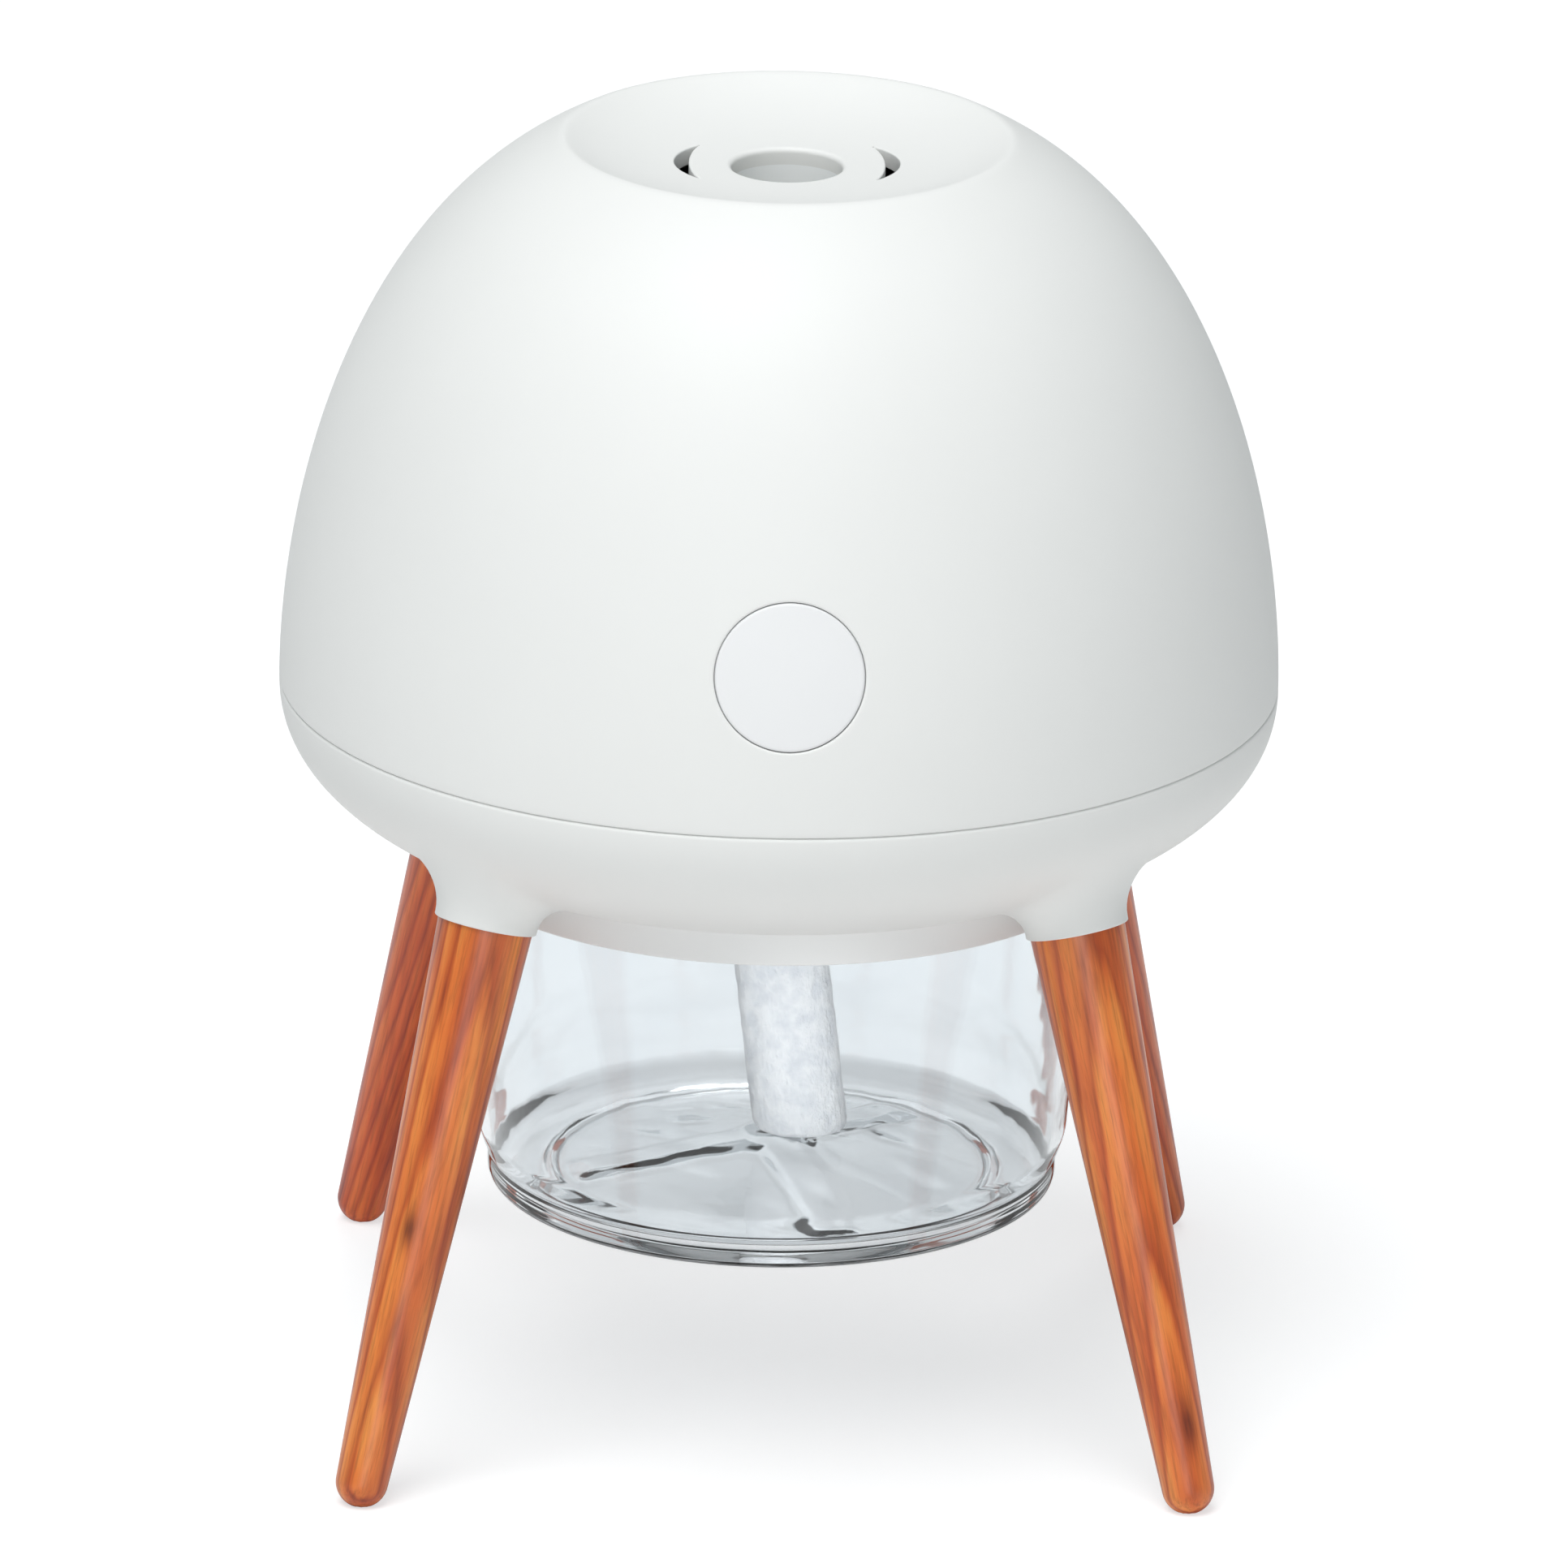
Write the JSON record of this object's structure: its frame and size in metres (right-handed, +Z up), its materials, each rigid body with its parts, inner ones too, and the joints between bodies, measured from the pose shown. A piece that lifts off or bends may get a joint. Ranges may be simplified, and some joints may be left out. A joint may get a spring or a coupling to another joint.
{
  "type": "cool mist humidifier",
  "caption": "Egg-shaped desk humidifier with a push button and dished mist outlet, on splayed wooden legs, with a clear screw-on water tank and a wick beneath.",
  "frame": {"origin": "centre of the ground plane under the housing, where the four feet stand", "axes": "+Z up, -Y is the front with the button, +X is to the right seen from the front"},
  "size_m": [0.13, 0.13, 0.1687],
  "materials": {
    "shell_plastic": "satin white moulded plastic",
    "button_plastic": "satin white moulded plastic",
    "collar_plastic": "satin white moulded plastic",
    "inner_plastic": "plain moulded plastic",
    "lacquered_wood": "turned, stained and lacquered",
    "clear_plastic": "clear polished plastic",
    "silicone": "soft silicone",
    "cotton": "pressed white fibre",
    "screw_steel": "zinc-plated steel",
    "steel_plate": "bright stamped steel",
    "piezo_ceramic": "silvered ceramic",
    "switch_plastic": "black moulded plastic",
    "board_laminate": "green coated laminate",
    "coil_copper": "enamelled copper winding",
    "can_aluminium": "drawn can",
    "socket_plastic": "natural moulded plastic",
    "lead_jacket": "soft vinyl jacket"
  },
  "bodies": {
    "root": {"dome_shell": "shell_plastic", "lower_shell": "shell_plastic", "tank_collar": "collar_plastic", "collar_screws": "screw_steel", "leg_front_left": "lacquered_wood", "leg_front_right": "lacquered_wood", "leg_rear_left": "lacquered_wood", "leg_rear_right": "lacquered_wood", "leg_screws": "screw_steel", "wick": "cotton", "wick_tube": "inner_plastic", "wick_grommet": "silicone", "tube_screws": "screw_steel", "piezo_seal": "silicone", "piezo_plate": "steel_plate", "piezo_ring": "piezo_ceramic", "piezo_cap": "inner_plastic", "cap_screws": "screw_steel", "chimney_seal": "silicone", "mist_chimney": "shell_plastic", "tact_switch": "switch_plastic", "circuit_board": "board_laminate", "board_screws": "screw_steel", "driver_chip": "switch_plastic", "boost_coil": "coil_copper", "capacitors": "can_aluminium", "lead_sockets": "socket_plastic", "power_inlet": "steel_plate", "inlet_board": "board_laminate", "inlet_socket": "socket_plastic", "inlet_screws": "screw_steel", "power_lead": "lead_jacket", "piezo_lead": "lead_jacket"},
    "button": {"button_cap": "button_plastic"},
    "plunger": {"switch_plunger": "switch_plastic"},
    "gasket": {"tank_gasket": "silicone"},
    "tank": {"tank": "clear_plastic"}
  },
  "joints": [
    {"name": "button_press", "type": "slide", "parent": "root", "child": "button", "axis": [0, 0.983, -0.1838], "range_m": [0, 0.0008], "stiffness_N_per_m": 1500},
    {"name": "switch_press", "type": "slide", "parent": "root", "child": "plunger", "axis": [0, 0.983, -0.1838], "range_m": [0, 0.0008]},
    {"name": "tank_drop", "type": "slide", "parent": "root", "child": "gasket", "axis": [0, 0, -1], "range_m": [0, 0.012]},
    {"name": "tank_turn", "type": "hinge", "parent": "gasket", "child": "tank", "pos_m": [0, 0, 0.0705], "axis": [0, 0, -1], "range_deg": [0, 360]}
  ],
  "couplings": [
    {"joint": "switch_press", "follows": "button_press", "ratio": 1},
    {"joint": "tank_drop", "follows": "tank_turn", "m_per_rad": 0.0019099}
  ]
}
